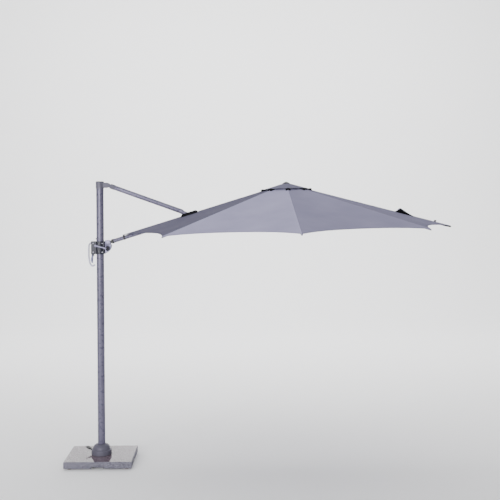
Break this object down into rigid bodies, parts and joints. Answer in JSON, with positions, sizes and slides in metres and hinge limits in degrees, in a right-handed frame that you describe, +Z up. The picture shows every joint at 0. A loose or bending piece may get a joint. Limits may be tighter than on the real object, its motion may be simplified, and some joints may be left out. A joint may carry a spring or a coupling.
{
  "type": "cantilever parasol",
  "caption": "Cantilever parasol: granite base, turning mast, sliding carriage with grip and crank, strut, beam, and a round folding canopy.",
  "frame": {"origin": "on the ground, on the mast's axis, in the middle of the granite slab (the flat underside of the counter plate is 5.7 mm above it)", "axes": "+Z up along the mast, +X from the mast to the canopy, +Y completes the right-handed frame"},
  "size_m": [3.3793, 2.9004, 2.469],
  "materials": {
    "granite": "gloss",
    "foot_rubber": "matte",
    "zinc_steel": "satin",
    "anthracite_tube": "satin",
    "dark_casting": "satin",
    "silver_casting": "gloss",
    "black_plastic": "gloss",
    "bush_plastic": "matte",
    "trigger_plastic": "satin",
    "canopy_fabric": "matte"
  },
  "bodies": {
    "base": {"granite_slab": "granite", "counter_plate": "zinc_steel", "spigot_flange": "zinc_steel", "levelling_foot_1": "foot_rubber", "levelling_foot_2": "foot_rubber", "levelling_foot_3": "foot_rubber", "levelling_foot_4": "foot_rubber", "flange_bolt_1": "zinc_steel", "flange_bolt_2": "zinc_steel", "flange_bolt_3": "zinc_steel", "flange_bolt_4": "zinc_steel"},
    "mast": {"mast_tube": "anthracite_tube", "swivel_bush": "bush_plastic", "foot_housing": "dark_casting", "mast_head": "dark_casting", "head_cap": "black_plastic", "head_pin": "zinc_steel", "stop_screw": "black_plastic", "pedal_pin": "zinc_steel"},
    "pedal": {"foot_pedal": "black_plastic"},
    "strut": {"strut_tube": "anthracite_tube", "strut_knuckle": "silver_casting", "saddle_pin": "zinc_steel"},
    "beam": {"beam_tube": "anthracite_tube", "beam_root": "black_plastic", "beam_saddle": "dark_casting", "beam_clamp": "dark_casting"},
    "carriage": {"slider_front_shell": "black_plastic", "slider_rear_shell": "black_plastic", "slide_liner": "bush_plastic", "pivot_bracket": "silver_casting", "grip_handle": "silver_casting", "pivot_bolt": "silver_casting", "slider_screw_1": "zinc_steel", "slider_screw_2": "zinc_steel", "slider_screw_3": "zinc_steel", "slider_screw_4": "zinc_steel"},
    "trigger": {"trigger": "trigger_plastic"},
    "crank": {"crank_arm": "silver_casting"},
    "knob": {"crank_knob": "silver_casting"},
    "hub": {"canopy_cloth": "canopy_fabric", "vent_cap": "canopy_fabric", "hub_crown": "dark_casting", "finial": "black_plastic"},
    "rib_0": {"rib_0": "anthracite_tube"},
    "stretcher_0": {"stretcher_0": "anthracite_tube"},
    "rib_1": {"rib_1": "anthracite_tube"},
    "stretcher_1": {"stretcher_1": "anthracite_tube"},
    "rib_2": {"rib_2": "anthracite_tube"},
    "stretcher_2": {"stretcher_2": "anthracite_tube"},
    "rib_3": {"rib_3": "anthracite_tube"},
    "stretcher_3": {"stretcher_3": "anthracite_tube"},
    "rib_5": {"rib_5": "anthracite_tube"},
    "stretcher_5": {"stretcher_5": "anthracite_tube"},
    "rib_6": {"rib_6": "anthracite_tube"},
    "stretcher_6": {"stretcher_6": "anthracite_tube"},
    "rib_7": {"rib_7": "anthracite_tube"},
    "stretcher_7": {"stretcher_7": "anthracite_tube"},
    "beam_stretcher": {"beam_stretcher": "anthracite_tube"},
    "runner": {"runner": "black_plastic"}
  },
  "joints": [
    {"name": "mast_swivel", "type": "hinge", "parent": "base", "child": "mast", "pos_m": [0, 0, 0.09], "axis": [0, 0, 1], "continuous": true},
    {"name": "pedal_press", "type": "hinge", "parent": "mast", "child": "pedal", "pos_m": [-0.07323, 0.02379, 0.097], "axis": [-0.309, -0.9511, 0], "range_deg": [0, 12], "stiffness_Nm_per_rad": 3, "springref_deg": -20.05},
    {"name": "canopy_tilt", "type": "hinge", "parent": "mast", "child": "strut", "pos_m": [0.068, 0, 2.437], "axis": [0, 1, 0], "range_deg": [0, 63]},
    {"name": "beam_on_strut", "type": "hinge", "parent": "strut", "child": "beam", "pos_m": [0.77245, 0, 2.1855], "axis": [0, 1, 0], "range_deg": [-126, 0]},
    {"name": "carriage_on_beam", "type": "hinge", "parent": "beam", "child": "carriage", "pos_m": [0.068, 0, 1.934], "axis": [0, 1, 0], "range_deg": [0, 63]},
    {"name": "trigger_squeeze", "type": "hinge", "parent": "carriage", "child": "trigger", "pos_m": [-0.064, 0, 1.825], "axis": [0, 1, 0], "range_deg": [0, 5], "stiffness_Nm_per_rad": 2, "springref_deg": -11.46},
    {"name": "crank_turn", "type": "hinge", "parent": "carriage", "child": "crank", "pos_m": [-0.033, -0.06, 1.909], "axis": [0, 1, 0], "range_deg": [0, 1656]},
    {"name": "knob_spin", "type": "hinge", "parent": "crank", "child": "knob", "pos_m": [0.05433, -0.08, 1.88723], "axis": [0, 1, 0], "continuous": true},
    {"name": "canopy_fold", "type": "hinge", "parent": "beam", "child": "hub", "pos_m": [1.56893, 0, 2.41674], "axis": [0, 1, 0], "range_deg": [0, 69], "deforming": ["canopy_cloth"]},
    {"name": "rib_0_fold", "type": "hinge", "parent": "hub", "child": "rib_0", "pos_m": [1.68889, 0, 2.42009], "axis": [0, 1, 0], "range_deg": [0, 69]},
    {"name": "stretcher_0_fold", "type": "hinge", "parent": "rib_0", "child": "stretcher_0", "pos_m": [2.15422, 0, 2.30234], "axis": [0, 1, 0], "range_deg": [-138, 0]},
    {"name": "rib_1_fold", "type": "hinge", "parent": "hub", "child": "rib_1", "pos_m": [1.67132, 0.04243, 2.4196], "axis": [-0.7068, 0.7071, -0.0197], "range_deg": [0, 69]},
    {"name": "stretcher_1_fold", "type": "hinge", "parent": "rib_1", "child": "stretcher_1", "pos_m": [2.00143, 0.36901, 2.29807], "axis": [-0.7068, 0.7071, -0.0197], "range_deg": [-138, 0]},
    {"name": "rib_2_fold", "type": "hinge", "parent": "hub", "child": "rib_2", "pos_m": [1.62891, 0.06, 2.41841], "axis": [-0.9996, 0, -0.0279], "range_deg": [0, 69]},
    {"name": "stretcher_2_fold", "type": "hinge", "parent": "rib_2", "child": "stretcher_2", "pos_m": [1.63256, 0.52187, 2.28777], "axis": [-0.9996, 0, -0.0279], "range_deg": [-138, 0]},
    {"name": "rib_3_fold", "type": "hinge", "parent": "hub", "child": "rib_3", "pos_m": [1.5865, 0.04243, 2.41723], "axis": [-0.7068, -0.7071, -0.0197], "range_deg": [0, 69]},
    {"name": "stretcher_3_fold", "type": "hinge", "parent": "rib_3", "child": "stretcher_3", "pos_m": [1.26369, 0.36901, 2.27747], "axis": [-0.7068, -0.7071, -0.0197], "range_deg": [-138, 0]},
    {"name": "beam_stretcher_fold", "type": "hinge", "parent": "beam", "child": "beam_stretcher", "pos_m": [1.1109, 0, 2.2732], "axis": [0, -1, 0], "range_deg": [-138, 0]},
    {"name": "rib_5_fold", "type": "hinge", "parent": "hub", "child": "rib_5", "pos_m": [1.5865, -0.04243, 2.41723], "axis": [0.7068, -0.7071, 0.0197], "range_deg": [0, 69]},
    {"name": "stretcher_5_fold", "type": "hinge", "parent": "rib_5", "child": "stretcher_5", "pos_m": [1.26369, -0.36901, 2.27747], "axis": [0.7068, -0.7071, 0.0197], "range_deg": [-138, 0]},
    {"name": "rib_6_fold", "type": "hinge", "parent": "hub", "child": "rib_6", "pos_m": [1.62891, -0.06, 2.41841], "axis": [0.9996, 0, 0.0279], "range_deg": [0, 69]},
    {"name": "stretcher_6_fold", "type": "hinge", "parent": "rib_6", "child": "stretcher_6", "pos_m": [1.63256, -0.52187, 2.28777], "axis": [0.9996, 0, 0.0279], "range_deg": [-138, 0]},
    {"name": "rib_7_fold", "type": "hinge", "parent": "hub", "child": "rib_7", "pos_m": [1.67132, -0.04243, 2.4196], "axis": [0.7068, 0.7071, 0.0197], "range_deg": [0, 69]},
    {"name": "stretcher_7_fold", "type": "hinge", "parent": "rib_7", "child": "stretcher_7", "pos_m": [2.00143, -0.36901, 2.29807], "axis": [0.7068, 0.7071, 0.0197], "range_deg": [-138, 0]},
    {"name": "runner_fold", "type": "hinge", "parent": "stretcher_0", "child": "runner", "pos_m": [1.69619, 0, 2.1588], "axis": [0, 1, 0], "range_deg": [0, 69]}
  ],
  "couplings": [
    {"joint": "beam_on_strut", "follows": "canopy_tilt", "ratio": -2},
    {"joint": "carriage_on_beam", "follows": "canopy_tilt", "ratio": 1},
    {"joint": "crank_turn", "follows": "canopy_fold", "ratio": 24},
    {"joint": "rib_0_fold", "follows": "canopy_fold", "ratio": 1},
    {"joint": "stretcher_0_fold", "follows": "canopy_fold", "ratio": -2},
    {"joint": "rib_1_fold", "follows": "canopy_fold", "ratio": 1},
    {"joint": "stretcher_1_fold", "follows": "canopy_fold", "ratio": -2},
    {"joint": "rib_2_fold", "follows": "canopy_fold", "ratio": 1},
    {"joint": "stretcher_2_fold", "follows": "canopy_fold", "ratio": -2},
    {"joint": "rib_3_fold", "follows": "canopy_fold", "ratio": 1},
    {"joint": "stretcher_3_fold", "follows": "canopy_fold", "ratio": -2},
    {"joint": "beam_stretcher_fold", "follows": "canopy_fold", "ratio": -2},
    {"joint": "rib_5_fold", "follows": "canopy_fold", "ratio": 1},
    {"joint": "stretcher_5_fold", "follows": "canopy_fold", "ratio": -2},
    {"joint": "rib_6_fold", "follows": "canopy_fold", "ratio": 1},
    {"joint": "stretcher_6_fold", "follows": "canopy_fold", "ratio": -2},
    {"joint": "rib_7_fold", "follows": "canopy_fold", "ratio": 1},
    {"joint": "stretcher_7_fold", "follows": "canopy_fold", "ratio": -2},
    {"joint": "runner_fold", "follows": "canopy_fold", "ratio": 1}
  ]
}
